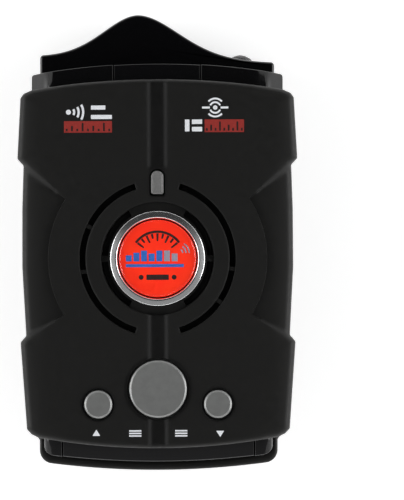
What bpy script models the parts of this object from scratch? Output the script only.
"""Dashboard radar detector, modelled as the assembly that comes apart on a bench.

+Z is up and +Y points through the windscreen, so the display faces -Y and the driver.
The origin is on the surface that the feet stand on, under the middle of the bounding box.
Sizes below are in millimetres. They become metres when a mesh is made.
"""

import math

import bmesh
import bpy
from mathutils import Matrix, Vector

MM = 0.001
GAP = 0.3  # between pieces that rest on each other

# Overall size
HALF_WIDTH = 34.3  # at the front shoulders
REAR_LIP_Y = -55.96
DECK_APEX_Z = 29.0
CROWN_SIDE, CROWN_SIDE_AT = 0.9, 30.0  # the deck falls this much by this x
CROWN_END, CROWN_END_AT = 0.6, 50.0  # and this much by this y

# Heights of the seams between the shells
FOOT_HEIGHT = 1.0
SEAM_Z = 9.5  # top edge of the lower housing
CHIN_Z = 4.3  # top of the ledge that carries the laser window
NOSE_TOP_Z = 14.2
BROW_Z = 23.6  # underside of the cover over both end openings
BAND_EDGE_Z = 21.4  # where the near-level top of each end's band meets its upright face
DECK_THICKNESS = 2.2
WALL = 1.8

# Top cover outline
FRONT_APEX_Y, FRONT_RADIUS, FRONT_HALF = 40.0, 190.0, 30.5
REAR_APEX_Y, REAR_RADIUS, REAR_HALF = -50.3, 163.0, 29.4
COVER_SIDE = [  # right-hand side from rear to front, with the two shoulder steps
    (31.1, -46.8), (32.2, -45.6), (33.7, -24.3), (32.3, -22.7), (33.2, -6.0),
    (33.15, 8.0), (32.8, 19.0), (34.3, 20.6), (33.5, 35.5), (32.7, 36.6),
]  # fmt: skip

FRONT_OPENING = 31.2  # half width of the mouth that the front bezel fills

# Laser window: a straight front edge, slightly skewed, with one rounded hump
NOSE_HALF, NOSE_CORNER = 28.75, 0.9
NOSE_BASE_Y, NOSE_SKEW = 45.0, -0.03
HUMP_X, HUMP_HEIGHT, HUMP_POWER = -4.5, 10.82, 1.886
HUMP_SPREAD_LEFT, HUMP_SPREAD_RIGHT = 12.35, 14.3
NOSE_BACK_Y = 36.0
NOSE_FLANGE = (30.5, 38.2)  # half width and front face of the flange behind the bezel

# Round features of the deck
EMBLEM_Y = -3.85
EMBLEM_RECESS_R, EMBLEM_FLOOR_Z = 13.8, 27.7
RING_OUTER_R, RING_INNER_R = 11.6, 9.75
INNER_SLOT_R = (12.1, 13.6)
INNER_SLOT_REACH, INNER_SLOT_BRIDGE = 59.0, 3.5  # degrees to each side of the X axis
OUTER_SLOT_R = (17.6, 19.05)
OUTER_SLOT_REACH = 73.0
GRIP_ARC_R, GRIP_DEPTH = 26.7, 0.8
GRIP_REAR, GRIP_FRONT = -31.0, 33.0  # degrees, the ends of each panel's inner arc
GROOVE_HALF, GROOVE_DEPTH = 2.05, 0.5

# Buttons: name, x, y, cap radius
MENU_Y, MENU_R = -35.7, 7.0
BUTTONS = [("up", -14.6, -39.4, 3.4), ("menu", 0.0, MENU_Y, MENU_R), ("down", 14.6, -39.4, 3.4)]
BUTTON_CLEARANCE = 0.5
CAP_PROUD = 0.55
KEY_BOARD_Z = 20.7  # top face
STEM_END_Z = 25.1
PLUNGER_R = 1.7

# Indicator light pipe
PIPE_Y, PIPE_HALF_WIDTH, PIPE_HALF_LENGTH = 14.7, 1.5, 2.85
PIPE_CLEARANCE = 0.35

# Inside
MAIN_BOARD_Z = (13.4, 15.0)
CASE_BOSSES = [(27.0, 26.0), (27.0, -34.0)]  # each is mirrored to -X
BOARD_POSTS = [(25.0, 13.5), (21.0, -41.0)]  # screws in the first pair, rests at the second
KEY_POSTS = [(20.5, -30.5)]
SPEAKER_R = 15.0
JACK_Y, JACK_Z = 5.0, 17.8
LENS_X, LENS_Y, LENS_Z, LENS_R = 20.4, 43.9, 9.4, 3.3

SEGMENTS = 36  # sides of a large round piece
SMALL_SEGMENTS = 20


# ---------------------------------------------------------------- materials


def make_material(name, colour, roughness, metallic=0.0, alpha=1.0):
    material = bpy.data.materials.new(name)
    material.use_nodes = True
    shader = material.node_tree.nodes["Principled BSDF"]
    shader.inputs["Base Color"].default_value = (*colour, 1.0)
    shader.inputs["Roughness"].default_value = roughness
    shader.inputs["Metallic"].default_value = metallic
    shader.inputs["Alpha"].default_value = alpha
    material.diffuse_color = (*colour, alpha)
    return material


def make_materials():
    return {
        "matte_black": make_material("matte_black", (0.013, 0.013, 0.012), 0.55),
        "gloss_black": make_material("gloss_black", (0.005, 0.005, 0.006), 0.1),
        "smoked_window": make_material("smoked_window", (0.006, 0.006, 0.007), 0.06),
        "clear_lens": make_material("clear_lens", (0.8, 0.82, 0.8), 0.03, alpha=0.35),
        "chrome": make_material("chrome", (0.8, 0.8, 0.8), 0.08, 1.0),
        "silver": make_material("silver", (0.33, 0.34, 0.33), 0.35, 0.8),
        "red_label": make_material("red_label", (0.9, 0.03, 0.01), 0.3),
        "frosted": make_material("frosted", (0.3, 0.3, 0.29), 0.5),
        "rubber": make_material("rubber", (0.02, 0.02, 0.02), 0.8),
        "steel": make_material("steel", (0.45, 0.45, 0.46), 0.3, 1.0),
        "board_green": make_material("board_green", (0.02, 0.12, 0.04), 0.4),
        "component_black": make_material("component_black", (0.02, 0.02, 0.02), 0.5),
        "die_cast": make_material("die_cast", (0.5, 0.5, 0.5), 0.4, 1.0),
        "paper_label": make_material("paper_label", (0.6, 0.6, 0.6), 0.5),
        "felt": make_material("felt", (0.012, 0.012, 0.012), 0.9),
    }


# ---------------------------------------------------------------- shapes


def finish_object(name, mesh, material, at=(0, 0, 0), parent=None):
    """Links a mesh as an object whose origin is at the given point."""
    if material:
        mesh.materials.append(material)
    mesh.shade_smooth()
    mesh.set_sharp_from_angle(angle=math.radians(32))
    obj = bpy.data.objects.new(name, mesh)
    bpy.context.scene.collection.objects.link(obj)
    obj.location = Vector(at) * MM
    if parent:
        obj.parent = parent
        obj.location -= parent.location
    return obj


def from_bmesh(name, shape, material, at=(0, 0, 0), parent=None):
    bmesh.ops.recalc_face_normals(shape, faces=shape.faces)
    bmesh.ops.scale(shape, vec=(MM, MM, MM), verts=shape.verts)
    mesh = bpy.data.meshes.new(name)
    shape.to_mesh(mesh)
    shape.free()
    return finish_object(name, mesh, material, at, parent)


def loft(name, rings, material, at=(0, 0, 0), parent=None):
    """A closed solid through rings of (x, y, z) points, all with the same count."""
    shape = bmesh.new()
    loops = [[shape.verts.new(point) for point in ring] for ring in rings]
    count = len(loops[0])
    for low, high in zip(loops, loops[1:]):
        for i in range(count):
            j = (i + 1) % count
            shape.faces.new((low[i], low[j], high[j], high[i]))
    bmesh.ops.triangulate(shape, faces=shape.faces)  # a Boolean needs flat faces
    shape.faces.new(reversed(loops[0]))
    shape.faces.new(loops[-1])
    return from_bmesh(name, shape, material, at, parent)


def prism(name, outline, z_low, z_high, material, at=(0, 0, 0), parent=None):
    rings = [[(x, y, z) for x, y in outline] for z in (z_low, z_high)]
    return loft(name, rings, material, at, parent)


def box(name, low, high, material, parent=None):
    """A box between two corners, with its origin at its middle."""
    low, high = Vector(low), Vector(high)
    shape = bmesh.new()
    bmesh.ops.create_cube(shape, size=1.0)
    bmesh.ops.scale(shape, vec=high - low, verts=shape.verts)
    return from_bmesh(name, shape, material, (low + high) / 2, parent)


def turned(name, profile, material, at=(0, 0, 0), axis="Z", segments=SEGMENTS, parent=None):
    """A profile of (radius, height) points spun about the axis through `at`."""
    shape = bmesh.new()
    points = [shape.verts.new((radius, 0, height)) for radius, height in profile]
    edges = [shape.edges.new(pair) for pair in zip(points, points[1:])]
    closed = profile[0][0] > 0 and profile[-1][0] > 0
    if closed:
        edges.append(shape.edges.new((points[-1], points[0])))
    bmesh.ops.spin(
        shape, geom=points + edges, cent=(0, 0, 0), axis=(0, 0, 1),
        angle=math.tau, steps=segments, use_merge=True, use_duplicate=False,
    )  # fmt: skip
    bmesh.ops.remove_doubles(shape, verts=shape.verts, dist=1e-4)
    turn = {"Z": 0.0, "Y": -math.pi / 2, "X": math.pi / 2}[axis]
    about = "Y" if axis == "X" else "X"
    bmesh.ops.rotate(shape, matrix=Matrix.Rotation(turn, 3, about), verts=shape.verts)
    return from_bmesh(name, shape, material, at, parent)


def disc(name, radius, z_low, z_high, material, x=0.0, y=0.0, segments=SEGMENTS, parent=None):
    profile = [(0, z_low), (radius, z_low), (radius, z_high), (0, z_high)]
    return turned(name, profile, material, (x, y, 0), "Z", segments, parent)


def tube(name, points, radius, material):
    """A round wire along a smooth curve."""
    curve = bpy.data.curves.new(name, "CURVE")
    curve.dimensions = "3D"
    curve.bevel_depth = radius * MM
    curve.bevel_resolution = 2
    curve.use_fill_caps = True
    smooth = smooth_path(points, 4)
    spline = curve.splines.new("POLY")
    spline.points.add(len(smooth) - 1)
    for point, place in zip(spline.points, smooth):
        point.co = (*(place * MM), 1.0)
    curve.materials.append(material)
    bpy.context.scene.collection.objects.link(bpy.data.objects.new(name, curve))


def smooth_path(points, steps):
    """Points of a Catmull-Rom curve through the given ones."""
    points = [Vector(point) for point in points]
    ends = [2 * points[0] - points[1], *points, 2 * points[-1] - points[-2]]
    path = []
    for a, b, c, d in zip(ends, ends[1:], ends[2:], ends[3:]):
        for k in range(steps):
            t = k / steps
            bend = (2 * a - 5 * b + 4 * c - d) * t * t + (3 * b - a - 3 * c + d) * t**3
            path.append((2 * b + (c - a) * t + bend) / 2)
    return [*path, points[-1]]


def boolean(obj, operation, other):
    """Adds a Boolean and keeps its other object as a wire helper that isn't built."""
    modifier = obj.modifiers.new(f"{operation.lower()}_{other.name}", "BOOLEAN")
    modifier.operation = operation
    modifier.solver = "EXACT"
    modifier.object = other
    other.hide_render = True
    other.display_type = "WIRE"


def cut(obj, *cutters):
    for cutter in cutters:
        boolean(obj, "DIFFERENCE", cutter)


def fuse(obj, *others):
    for other in others:
        boolean(obj, "UNION", other)


def both_sides(places):
    return [(side * x, y) for x, y in places for side in (1, -1)]


# ---------------------------------------------------------------- outlines


def arc_points(half, apex_y, radius, bulge, count):
    """Points from +half to -half on a shallow arc; bulge is +1 to the front, -1 to the rear."""
    xs = [half * (1 - 2 * i / (count - 1)) for i in range(count)]
    return [(x, apex_y - bulge * x * x / (2 * radius)) for x in xs]


def cover_outline():
    """Counter-clockwise, from the rear right-hand corner."""
    front = arc_points(FRONT_HALF, FRONT_APEX_Y, FRONT_RADIUS, 1, 9)
    rear = arc_points(REAR_HALF, REAR_APEX_Y, REAR_RADIUS, -1, 9)
    left = [(-x, y) for x, y in reversed(COVER_SIDE)]
    return [*COVER_SIDE, *front, *left, *reversed(rear)]


def nose_edge(x):
    """Front edge of the laser window at x."""
    spread = HUMP_SPREAD_LEFT if x < HUMP_X else HUMP_SPREAD_RIGHT
    hump = HUMP_HEIGHT * math.exp(-((abs(x - HUMP_X) / spread) ** HUMP_POWER))
    return NOSE_BASE_Y + NOSE_SKEW * x + hump


def nose_curve(inset, count=31):
    """The front edge from right to left, moved inwards along its normal."""
    half = NOSE_HALF - NOSE_CORNER
    points = []
    for i in range(count):
        x = half * (1 - 2 * i / (count - 1))
        slope = (nose_edge(x + 0.01) - nose_edge(x - 0.01)) / 0.02
        length = math.hypot(1, slope)
        points.append((x + inset * slope / length, nose_edge(x) - inset / length))
    return points


def nose_outline(inset, back_y):
    """The whole plan of the laser window, with rounded front corners."""
    side = NOSE_HALF - inset
    flange, flange_y = NOSE_FLANGE[0] - inset, NOSE_FLANGE[1] - 0.3 * inset
    front = nose_curve(inset)
    right, left = front[0], front[-1]
    return [
        (flange, back_y),
        (flange, flange_y),
        (side, flange_y + 0.2),
        (side, right[1] - NOSE_CORNER),
        (side - 0.3 * NOSE_CORNER, right[1] - 0.3 * NOSE_CORNER),
        *front,
        (0.3 * NOSE_CORNER - side, left[1] - 0.3 * NOSE_CORNER),
        (-side, left[1] - NOSE_CORNER),
        (-side, flange_y + 0.2),
        (-flange, flange_y),
        (-flange, back_y),
    ]


def housing_outline():
    """Lower housing: the cover's sides, the rear lip and the chin under the laser window."""
    rear = arc_points(26.0, REAR_LIP_Y, 205.0, -1, 9)
    corner = [(26.0 + 3.3 * math.sin(a), -51.0 - 3.3 * math.cos(a)) for a in (0.5, 1.0, 1.5)]
    side = [(x - 0.4, y) for x, y in COVER_SIDE]
    front_corner = [(31.5, 37.0), (30.5, 37.6), (30.5, 39.6), (29.6, 40.8)]
    right = [*corner, (29.3, -48.4), *side, *front_corner]
    chin = nose_curve(0.8, 25)
    left = [(-x, y) for x, y in reversed(right)]
    return [*right, *chin, *left, *reversed(rear)]


def end_panel_outline(half, apex_y, radius, bulge, back_y, corner):
    """Plan of a bezel at one height: a shallow arc with chamfered corners and a straight back."""
    arc = arc_points(half - corner, apex_y, radius, bulge, 11)
    edge_y = arc[0][1]
    side_y = edge_y - bulge * corner
    near = half - 0.3 * corner
    near_y = edge_y - bulge * 0.3 * corner
    plan = [(half, back_y), (half, side_y), (near, near_y), *arc]
    plan += [(-near, near_y), (-half, side_y), (-half, back_y)]
    return plan if bulge > 0 else plan[::-1]


def inset_ring(outline, inset, height):
    """The outline drawn in towards the middle; height is a number or a function of (x, y)."""
    ring = []
    for x, y in outline:
        x, y = x * (1 - inset / HALF_WIDTH), y * (1 - inset / 50.0)
        ring.append((x, y, height(x, y) if callable(height) else height))
    return ring


def crown(x, y):
    side = CROWN_SIDE * (x / CROWN_SIDE_AT) ** 2
    return DECK_APEX_Z - side - CROWN_END * (y / CROWN_END_AT) ** 2


def rolled_deck(inset):
    """Height of the deck at a given inset: a tight roll all round, and a wide slow one at the sides."""

    def profile(width, drop):
        reach = max(0.0, 1 - inset / width)
        return drop * (1 - math.sqrt(1 - reach * reach))

    def height(x, y):
        share = min(1.0, max(0.0, (abs(x) - 22.0) / 9.0))
        share = share * share * (3 - 2 * share)
        return crown(x, y) - profile(1.1, 1.2) - share * profile(6.0, 1.1)

    return height


def sector(radii, from_deg, to_deg, centre=(0, EMBLEM_Y), step=8.0):
    """Plan of an arc-shaped slot."""
    count = max(2, round((to_deg - from_deg) / step)) + 1
    turns = [math.radians(from_deg + (to_deg - from_deg) * i / (count - 1)) for i in range(count)]
    outer = [(radii[1] * math.cos(a), radii[1] * math.sin(a)) for a in turns]
    inner = [(radii[0] * math.cos(a), radii[0] * math.sin(a)) for a in reversed(turns)]
    return [(x + centre[0], y + centre[1]) for x, y in outer + inner]


def pipe_outline(grow):
    """The indicator's window: square at the driver's end, arched at the other."""
    half = PIPE_HALF_WIDTH + grow
    spring_y = PIPE_Y + PIPE_HALF_LENGTH - PIPE_HALF_WIDTH
    turns = [math.pi * i / 8 for i in range(9)]
    arch = [(half * math.cos(a), spring_y + half * math.sin(a)) for a in turns]
    foot_y = PIPE_Y - PIPE_HALF_LENGTH - grow
    return [(half - 0.3, foot_y), (half, foot_y + 0.3), *arch, (-half, foot_y + 0.3), (0.3 - half, foot_y)]


def grip_outline(side):
    """Plan of one recessed grip panel, which runs out past the cover's edge."""
    span = GRIP_FRONT - GRIP_REAR
    turns = [math.radians(GRIP_FRONT - span * i / 10) for i in range(11)]
    arc = [(GRIP_ARC_R * math.cos(a), EMBLEM_Y + GRIP_ARC_R * math.sin(a)) for a in turns]
    plan = [(36.0, 21.95), (32.6, 19.05), *arc, (31.95, -22.75), (36.0, -26.8)]
    return [(side * x, y) for x, y in plan]


# ---------------------------------------------------------------- shells


def cover_shape(name, material, sunk=0.0):
    """The cover's outer form as one solid block, with its skin sunk by some depth."""
    outline = cover_outline()
    walls = [(SEAM_Z + GAP, 0.8), (13.0, 0.3), (17.5, 0.0), (21.5, 0.1)]
    rings = [inset_ring(outline, inset + sunk, z) for z, inset in walls]
    for inset in (0.35, 0.9, 2.0, 4.0, 6.0, 14.0, 27.0):
        rings.append(inset_ring(outline, inset + sunk, rolled_deck(inset)))
    return loft(name, rings, material, (0, 0, -sunk))


def build_cover(finish):
    cover = cover_shape("top_cover", finish["matte_black"])
    outline = cover_outline()
    hollow = [inset_ring(outline, 0.8 + WALL, SEAM_Z - 3), inset_ring(outline, WALL, 17.0)]
    for inset in (1.0 + WALL, 5.5, 14.0, 28.0):
        under = rolled_deck(inset)
        hollow.append(inset_ring(outline, inset, lambda x, y, f=under: f(x, y) - DECK_THICKNESS))
    cut(cover, loft("cut_cavity", hollow, None))
    corners = [(FRONT_OPENING, SEAM_Z - 3), (FRONT_OPENING, 15.2), (FRONT_OPENING - 3.5, BROW_Z)]
    corners += [(-x, z) for x, z in reversed(corners)]
    opening = [[(x, y, z) for x, z in corners] for y in (45.0, 34.5)]
    cut(cover, loft("cut_front_opening", opening, None))
    cut(cover, box("cut_rear_opening", (-28.5, -55, SEAM_Z - 3), (28.5, -44.6, BROW_Z), None))
    for n, (x, y) in enumerate(both_sides(CASE_BOSSES)):
        fuse(cover, disc(f"boss_{n}", 2.4, SEAM_Z + 0.6, 27.0, None, x, y, SMALL_SEGMENTS))
        cut(cover, disc(f"cut_boss_{n}", 1.3, 0, 22.0, None, x, y, 12))
    for n, (x, y) in enumerate(both_sides(KEY_POSTS)):
        fuse(cover, disc(f"key_post_{n}", 1.8, KEY_BOARD_Z + GAP, 27.0, None, x, y, 16))
        cut(cover, disc(f"cut_key_post_{n}", 1.1, 15.0, 24.6, None, x, y, 12))
    cut_grips_and_grooves(cover)
    cut_round_features(cover)
    return cover


def cut_grips_and_grooves(cover):
    lowered_grip = cover_shape("shape_under_grip", None, GRIP_DEPTH)
    lowered_grip.hide_render = True
    for side, name in ((1, "right"), (-1, "left")):
        grip = prism(f"cut_grip_{name}", grip_outline(side), 20.0, 35.0, None)
        cut(grip, lowered_grip)
        cut(cover, grip)
    lowered_groove = cover_shape("shape_under_groove", None, GROOVE_DEPTH)
    menu_front, menu_rear = MENU_Y + MENU_R - 1, MENU_Y - MENU_R + 1
    stretches = [(18.6, 45.0), (menu_front, EMBLEM_Y - EMBLEM_RECESS_R + 1), (-55.0, menu_rear)]
    for n, (low_y, high_y) in enumerate(stretches):
        groove = box(f"cut_groove_{n}", (-GROOVE_HALF, low_y, 20), (GROOVE_HALF, high_y, 35), None)
        cut(groove, lowered_groove)
        cut(cover, groove)


def cut_round_features(cover):
    cut(cover, disc("cut_emblem_recess", EMBLEM_RECESS_R, EMBLEM_FLOOR_Z, 35, None, 0, EMBLEM_Y))
    for side, name in ((0, "right"), (180, "left")):
        outer = sector(OUTER_SLOT_R, side - OUTER_SLOT_REACH, side + OUTER_SLOT_REACH)
        cut(cover, prism(f"cut_outer_slot_{name}", outer, 20, 35, None))
        for sign, end in ((1, "front"), (-1, "rear")):
            span = sorted((side + sign * INNER_SLOT_BRIDGE, side + sign * INNER_SLOT_REACH))
            plan = sector(INNER_SLOT_R, *span)
            cut(cover, prism(f"cut_inner_slot_{name}_{end}", plan, 20, 35, None))
    for name, x, y, radius in BUTTONS:
        segments = SEGMENTS if radius > 5 else SMALL_SEGMENTS
        cut(cover, disc(f"cut_{name}", radius + BUTTON_CLEARANCE, 20, 35, None, x, y, segments))
    cut(cover, prism("cut_pipe", pipe_outline(PIPE_CLEARANCE), 20, 35, None))
    hole = [(0, -4), (2.9, -4), (2.9, 4), (0, 4)]
    cut(cover, turned("cut_jack_hole", hole, None, (-32.5, JACK_Y, JACK_Z), "X", 24))


def build_lower_housing(finish):
    outline = housing_outline()
    levels = [(FOOT_HEIGHT, 2.4), (1.6, 1.5), (4.0, 0.7), (SEAM_Z, 0.0)]
    rings = [inset_ring(outline, inset, z) for z, inset in levels]
    housing = loft("lower_housing", rings, finish["matte_black"])
    hollow = [inset_ring(outline, 3.0, FOOT_HEIGHT + 2.0), inset_ring(outline, WALL, SEAM_Z + 1)]
    cut(housing, loft("cut_tray", hollow, None))
    cut(housing, box("cut_front_wall", (-30.5, 35.7, CHIN_Z), (30.5, 60, 20), None))
    floor_z = FOOT_HEIGHT + 1.5
    for n, (x, y) in enumerate(both_sides(CASE_BOSSES)):
        fuse(housing, disc(f"screw_tower_{n}", 3.2, floor_z, SEAM_Z, None, x, y, SMALL_SEGMENTS))
        cut(housing, disc(f"cut_shank_{n}", 1.4, 0, 12, None, x, y, 12))
        cut(housing, disc(f"cut_head_{n}", 2.4, 0, 4.6, None, x, y, SMALL_SEGMENTS))
    for n, (x, y) in enumerate(both_sides(BOARD_POSTS)):
        top = MAIN_BOARD_Z[0] - GAP
        fuse(housing, disc(f"board_post_{n}", 2.2, floor_z, top, None, x, y, 16))
        cut(housing, disc(f"cut_board_post_{n}", 1.1, 5.0, 15, None, x, y, 12))
    for n, (x, y) in enumerate(both_sides([(21.0, 33.0), (21.0, -44.5)])):
        cut(housing, disc(f"cut_foot_{n}", 4.4, 0, 1.7, None, x, y, SMALL_SEGMENTS))
    cut(housing, box("cut_label", (-19.4, -17.4, 0), (19.4, 9.4, 1.6), None))
    return housing


def build_laser_window(finish):
    levels = [(CHIN_Z + GAP, 1.2), (6.2, 0.35), (12.9, 0.0), (13.8, 0.15), (NOSE_TOP_Z, 0.6)]
    rings = [[(x, y, z) for x, y in nose_outline(inset, NOSE_BACK_Y)] for z, inset in levels]
    window = loft("laser_window", rings, finish["smoked_window"])
    inside = nose_outline(1.5, NOSE_BACK_Y - 3)
    cut(window, prism("cut_window_inside", inside, CHIN_Z + 1.5, NOSE_TOP_Z - 1.2, None))
    hole = [(0, -4), (LENS_R + GAP, -4), (LENS_R + GAP, 6), (0, 6)]
    cut(window, turned("cut_lens_hole", hole, None, (LENS_X, LENS_Y - 1.5, LENS_Z), "Y", SMALL_SEGMENTS))
    dome_radius, dome_height = 4.0, 2.2
    turns = [i / 5 for i in range(5, -1, -1)]
    edge = math.asin(LENS_R / dome_radius)
    dome = [
        (dome_radius * math.sin(edge * t), dome_height - dome_radius * (1 - math.cos(edge * t)))
        for t in turns
    ]
    profile = [(0, -2.0), (LENS_R, -2.0), *dome]
    lens_at = (LENS_X, LENS_Y, LENS_Z)
    turned("laser_lens", profile, finish["clear_lens"], lens_at, "Y", SMALL_SEGMENTS)


def end_band(name, profile, radius, bulge, back_y, corner, material, thickness=1.5):
    """A thin shell across one end. Its profile is a list of (half width, apex y, height)."""

    def ring(half, apex_y, z, inwards):
        half, apex_y = half - inwards, apex_y - bulge * inwards
        plan = end_panel_outline(half, apex_y, radius, bulge, back_y - bulge * 3 * (inwards > 0), corner)
        return [(x, y, z) for x, y in plan]

    shell = loft(name, [ring(half, apex_y, z, 0) for half, apex_y, z in profile], material)
    low, *middle, high = profile
    inner = [(low[0], low[1], low[2] - 1), *middle, (high[0], high[1], high[2] + 1)]
    cut(shell, loft(f"cut_{name}", [ring(half, apex_y, z, thickness) for half, apex_y, z in inner], None))
    return shell


def build_front_bezel(finish):
    """A gloss band with a near-level top, an upright front and sloping ends, and its window."""
    profile = [
        (30.8, 43.6, NOSE_TOP_Z + GAP), (30.8, 43.7, 15.0), (27.4, 43.9, BAND_EDGE_Z),
        (27.1, 39.4, BROW_Z - GAP),
    ]  # fmt: skip
    low, high = (-10.75, 36, 16.4), (10.75, 50, 30)
    bezel = end_band("front_bezel", profile, 175.0, 1, 35.0, 0.7, finish["gloss_black"])
    cut(bezel, box("cut_centre_window", low, high, None))
    window = end_band("antenna_window", profile, 175.0, 1, 35.0, 0.7, finish["smoked_window"])
    low, high = (low[0] + GAP, low[1], low[2] + GAP), (high[0] - GAP, high[1], high[2])
    boolean(window, "INTERSECT", box("keep_centre_window", low, high, None))


def build_display_end(finish):
    profile = [(27.8, -53.3, SEAM_Z + GAP), (27.9, -53.6, BAND_EDGE_Z), (27.7, -49.7, BROW_Z - GAP)]
    low, high = (-23.6, -60, 10.9), (23.6, -46.5, 30)
    frame = end_band("display_frame", profile, 205.0, -1, -45.4, 1.8, finish["gloss_black"])
    cut(frame, box("cut_display", low, high, None))
    window = end_band("display_window", profile, 205.0, -1, -45.4, 1.8, finish["smoked_window"])
    low, high = (low[0] + GAP, low[1], low[2] + GAP), (high[0] - GAP, high[1], high[2])
    boolean(window, "INTERSECT", box("keep_display", low, high, None))


# ---------------------------------------------------------------- deck pieces


def build_emblem(finish):
    low = EMBLEM_FLOOR_Z + GAP
    ring = [
        (RING_INNER_R, low), (RING_OUTER_R, low), (RING_OUTER_R, low + 0.9),
        (11.35, low + 1.35), (10.9, low + 1.6), (10.3, low + 1.5), (9.9, low + 1.2),
        (RING_INNER_R, low + 0.8),
    ]  # fmt: skip
    turned("emblem_ring", ring, finish["chrome"], (0, EMBLEM_Y, 0))
    disc("emblem_label", RING_INNER_R - GAP, low, low + 0.4, finish["red_label"], 0, EMBLEM_Y)
    dome_low, dome_rise, radius = low + 0.7, 0.95, RING_INNER_R - GAP
    steps = (0, 0.25, 0.5, 0.75, 1)
    dome = [(radius * (1 - t), dome_low + 0.35 + dome_rise * (1 - (1 - t) ** 2)) for t in steps]
    profile = [(0, dome_low), (radius, dome_low), *dome]
    turned("emblem_dome", profile, finish["clear_lens"], (0, EMBLEM_Y, 0))


def build_button(name, x, y, radius, finish):
    """A cap with its retaining flange and stem, and the switch plunger that it pushes."""
    axis = bpy.data.objects.new(f"{name}_press_axis", None)
    axis.location = Vector((x, y, STEM_END_Z)) * MM
    bpy.context.scene.collection.objects.link(axis)
    segments = SEGMENTS if radius > 5 else SMALL_SEGMENTS
    top = crown(x, y) + CAP_PROUD - STEM_END_Z
    flange_top = crown(x, y) - DECK_THICKNESS - GAP - STEM_END_Z
    flange_r = radius + BUTTON_CLEARANCE + 0.8
    chamfer = 0.35
    profile = [
        (0, 0), (2.2, 0), (2.2, flange_top - 0.8), (flange_r, flange_top - 0.8),
        (flange_r, flange_top), (radius, flange_top), (radius, top - chamfer),
        (radius - chamfer, top), (0, top),
    ]  # fmt: skip
    at = (x, y, STEM_END_Z)
    turned(f"{name}_button", profile, finish["silver"], at, "Z", segments, axis)
    plunger = [(0, -2.5), (PLUNGER_R, -2.5), (PLUNGER_R, -GAP), (0, -GAP)]
    turned(f"{name}_plunger", plunger, finish["component_black"], at, "Z", 16, axis)
    body = box(
        f"{name}_switch", (x - 3, y - 3, KEY_BOARD_Z + GAP), (x + 3, y + 3, 24.1),
        finish["component_black"],
    )  # fmt: skip
    cut(body, disc(f"cut_{name}_switch", PLUNGER_R + 0.35, 21.8, 26, None, x, y, 16))


def build_indicator(finish):
    top = crown(0, PIPE_Y) + 0.25
    pipe = prism("indicator_pipe", pipe_outline(0), 17.0, top, finish["frosted"])
    bevel = pipe.modifiers.new("edge", "BEVEL")
    bevel.width = 0.3 * MM
    bevel.segments = 2
    bevel.limit_method = "ANGLE"
    bevel.angle_limit = math.radians(60)
    low = MAIN_BOARD_Z[1] + GAP
    box("indicator_led", (-1.4, PIPE_Y - 1.6, low), (1.4, PIPE_Y + 1.6, 16.6), finish["frosted"])


# ---------------------------------------------------------------- inside


def build_speaker(finish):
    at = (0, EMBLEM_Y, 0)
    r = SPEAKER_R
    black, steel = finish["component_black"], finish["steel"]
    gasket = [(r - 1.1, 25.4), (r, 25.4), (r, 26.2), (r - 1.1, 26.2)]
    turned("speaker_gasket", gasket, finish["felt"], at, "Z", 24)
    frame = [
        (r - 1.3, 24.2), (r - 5.0, 20.8), (5.6, 20.6), (5.6, 19.8), (r - 4.6, 19.9),
        (r, 24.2), (r, 25.1), (r - 1.3, 25.1),
    ]  # fmt: skip
    turned("speaker_frame", frame, steel, at, "Z", 24)
    r = SPEAKER_R - 1.6
    cone = [
        (0, 23.6), (3.6, 22.6), (r - 1.6, 24.3), (r, 24.6),
        (r, 25.0), (r - 1.6, 24.9), (3.6, 23.2), (0, 24.4),
    ]  # fmt: skip
    turned("speaker_cone", cone, black, at, "Z", 24)
    disc("speaker_magnet", 7.6, 15.6, 19.5, steel, 0, EMBLEM_Y, SMALL_SEGMENTS)
    felt = sector((16.6, 20.0), -250.0, 70.0, step=10.0)
    prism("slot_felt", felt, 25.2, 25.9, finish["felt"])
    for name, x, coat in (("a", 9.6, "component_black"), ("b", 11.4, "red_label")):
        route = [(x, -17.6, 19.4), (x + 1.4, -19.2, 18.6), (x + 2.4, -20.4, 17.0), (x + 2.6, -20.8, 15.4)]
        tube(f"speaker_lead_{name}", route, 0.45, finish[coat])


def board_outline():
    """Main board: narrow at both ends, so that it clears the screw towers."""
    half = [(23.4, -43.7), (23.4, -28.0), (28.4, -26.4), (28.4, 19.5), (23.4, 21.0), (23.4, 22.6)]
    return [*half, *[(-x, y) for x, y in reversed(half)]]


def build_boards(finish):
    green = finish["board_green"]
    main = prism("main_board", board_outline(), *MAIN_BOARD_Z, green)
    key = box("key_board", (-24.2, -43.7, KEY_BOARD_Z - 1.6), (24.2, -27.6, KEY_BOARD_Z), green)
    for n, (x, y) in enumerate(both_sides(BOARD_POSTS)):
        cut(main, disc(f"cut_main_hole_{n}", 1.3, 10, 18, None, x, y, 12))
    for n, (x, y) in enumerate(both_sides(KEY_POSTS)):
        cut(key, disc(f"cut_key_hole_{n}", 1.2, 17, 23, None, x, y, 12))
    box("display_board", (-22.5, -45.4, 5.0), (22.5, -44.2, 21.6), green)
    top = MAIN_BOARD_Z[1] + GAP
    key_gap = KEY_BOARD_Z - 1.6 - GAP
    black = finish["component_black"]
    box("key_header", (-7.0, -29.8, top), (7.0, -28.2, key_gap), black)
    box("display_module", (-19.0, -47.0, 9.4), (19.0, -45.7, 21.2), black)
    box("display_header", (-9.0, -43.9, 9.4), (9.0, -42.0, 13.1), black)
    box("processor_chip", (-15.0, -26.0, top), (-5.0, -16.0, top + 1.2), black)
    box("voltage_regulator", (13.5, 15.4, top), (20.5, 18.0, top + 4.6), black)
    disc("power_inductor", 3.2, top, top + 3.6, black, -10.0, 17.8, 16)
    disc("capacitor", 2.5, top, top + 7.0, finish["steel"], -18.5, 18.6, 16)


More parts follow.
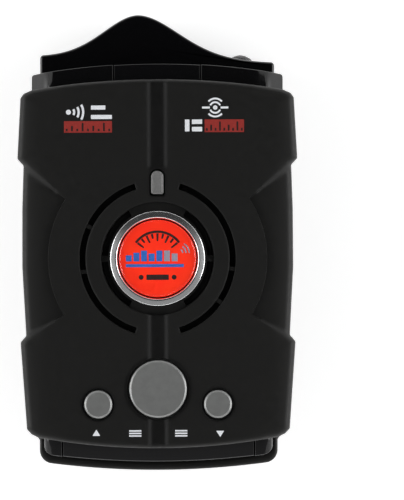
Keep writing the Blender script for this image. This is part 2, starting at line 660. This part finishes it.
def build_antenna(finish):
    cast, steel = finish["die_cast"], finish["steel"]

    def rectangle(half_x, low_z, high_z, y, centre_x=HUMP_X):
        low_x, high_x = centre_x - half_x, centre_x + half_x
        return [(low_x, y, low_z), (high_x, y, low_z), (high_x, y, high_z), (low_x, y, high_z)]

    outer = [rectangle(7.0, 4.6, 12.6, -6), rectangle(7.0, 4.6, 12.6, 14), rectangle(14.0, 3.7, 13.0, 35.6)]
    inner = [rectangle(5.3, 6.6, 10.9, 2), rectangle(5.3, 6.6, 10.9, 14), rectangle(13.0, 4.7, 12.0, 37)]
    horn = loft("horn_antenna", outer, cast)
    cut(horn, loft("cut_horn", inner, None))
    box("mixer_board", (-13.0, -22.0, 5.2), (4.0, -6.4, 6.4), finish["board_green"])
    box("mixer_shield", (-12.0, -21.0, 6.7), (3.0, -7.4, 11.4), steel)


def build_laser_receiver(finish):
    black = finish["component_black"]
    barrel = [(2.3, -4.2), (3.3, -4.2), (3.3, 0), (2.3, 0)]
    turned("lens_barrel", barrel, black, (LENS_X, LENS_Y - 2.3, LENS_Z), "Y", SMALL_SEGMENTS)
    box("laser_sensor", (LENS_X - 2, 34.6, LENS_Z - 2), (LENS_X + 2, 36.6, LENS_Z + 2), black)
    box("laser_board", (LENS_X - 5.5, 32.8, 4.0), (LENS_X + 5.5, 34.3, 14.6), finish["board_green"])


def build_power_inlet(finish):
    black = finish["component_black"]
    inlet = box("power_inlet", (-30.4, JACK_Y - 3.4, 15.3), (-21.5, JACK_Y + 3.4, 20.6), black)
    sleeve = [(0, -1.3), (2.6, -1.3), (2.6, 1.4), (0, 1.4)]
    fuse(inlet, turned("inlet_sleeve", sleeve, None, (-31.0, JACK_Y, JACK_Z), "X", 24))
    bore = [(0, -4), (1.8, -4), (1.8, 6.0), (0, 6.0)]
    cut(inlet, turned("cut_inlet_bore", bore, None, (-31.0, JACK_Y, JACK_Z), "X", 24))
    pin = [(0, -0.9), (0.65, -0.9), (0.65, 5.6), (0, 5.6)]
    turned("inlet_pin", pin, finish["steel"], (-31.0, JACK_Y, JACK_Z), "X", 12)


# ---------------------------------------------------------------- fasteners and underside


def screw(name, place, head_z, head_r, head_height, shank_r, tip_z, material):
    """A pan-head screw on a vertical axis; it points down if its tip is below its head."""
    way = 1 if tip_z > head_z else -1
    seat_z = head_z + way * head_height
    profile = [
        (0, head_z), (head_r - 0.4, head_z), (head_r, head_z + way * 0.4), (head_r, seat_z),
        (shank_r, seat_z), (shank_r, tip_z - way * shank_r), (0, tip_z),
    ]  # fmt: skip
    return turned(name, profile, material, (*place, 0), "Z", 16)


def build_fasteners(finish):
    steel = finish["steel"]
    for n, place in enumerate(both_sides(CASE_BOSSES), 1):
        screw(f"case_screw_{n}", place, 2.6, 2.0, 1.7, 1.0, 18.0, steel)
    for n, place in enumerate(both_sides(KEY_POSTS), 1):
        screw(f"key_board_screw_{n}", place, 17.5, 1.7, 1.3, 0.8, 23.6, steel)
    head_z = MAIN_BOARD_Z[1] + GAP + 1.2
    for n, place in enumerate(both_sides(BOARD_POSTS[:1]), 1):
        screw(f"main_board_screw_{n}", place, head_z, 1.7, 1.2, 0.8, 6.5, steel)


def build_underside(finish):
    for end, y in (("front", 33.0), ("rear", -44.5)):
        for side, name in ((1, "right"), (-1, "left")):
            profile = [(0, 0), (3.7, 0), (4.0, 0.3), (4.0, 1.4), (0, 1.4)]
            turned(f"foot_{end}_{name}", profile, finish["rubber"], (side * 21.0, y, 0), "Z", SMALL_SEGMENTS)
    box("rating_label", (-19.0, -17.0, 1.05), (19.0, 9.0, 1.3), finish["paper_label"])


def main():
    for obj in list(bpy.data.objects):
        bpy.data.objects.remove(obj)
    finish = make_materials()
    build_cover(finish)
    build_lower_housing(finish)
    build_laser_window(finish)
    build_front_bezel(finish)
    build_display_end(finish)
    build_emblem(finish)
    for name, x, y, radius in BUTTONS:
        build_button(name, x, y, radius, finish)
    build_indicator(finish)
    build_speaker(finish)
    build_boards(finish)
    build_antenna(finish)
    build_laser_receiver(finish)
    build_power_inlet(finish)
    build_fasteners(finish)
    build_underside(finish)


main()
